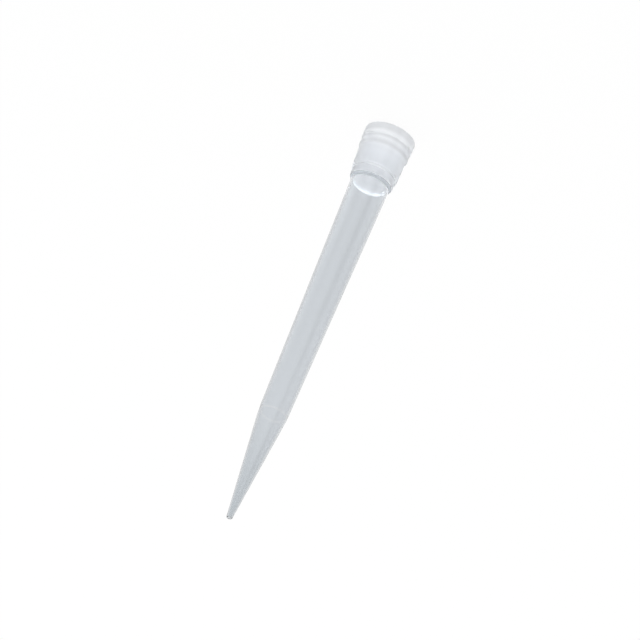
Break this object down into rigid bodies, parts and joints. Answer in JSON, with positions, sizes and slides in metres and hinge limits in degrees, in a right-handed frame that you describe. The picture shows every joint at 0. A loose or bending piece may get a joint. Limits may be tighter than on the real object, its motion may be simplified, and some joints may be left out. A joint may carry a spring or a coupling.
{
  "type": "pipette tip",
  "caption": "Long, slender laboratory tip: a ringed collar with an inner ledge, a thin-walled tapered tube and a cone that narrows to a fine orifice.",
  "frame": {"origin": "on the tip's axis, in the plane of the collar's rim, on which it stands", "axes": "+Z along the axis from the mouth of the collar to the orifice; it is round, so X and Y are free"},
  "size_m": [0.0166, 0.0166, 0.15],
  "materials": {
    "natural_polypropylene": "translucent natural polypropylene with a faint cool grey haze and a soft moulded gloss"
  },
  "bodies": {
    "root": {"pipette_tip": "natural_polypropylene"}
  },
  "joints": []
}
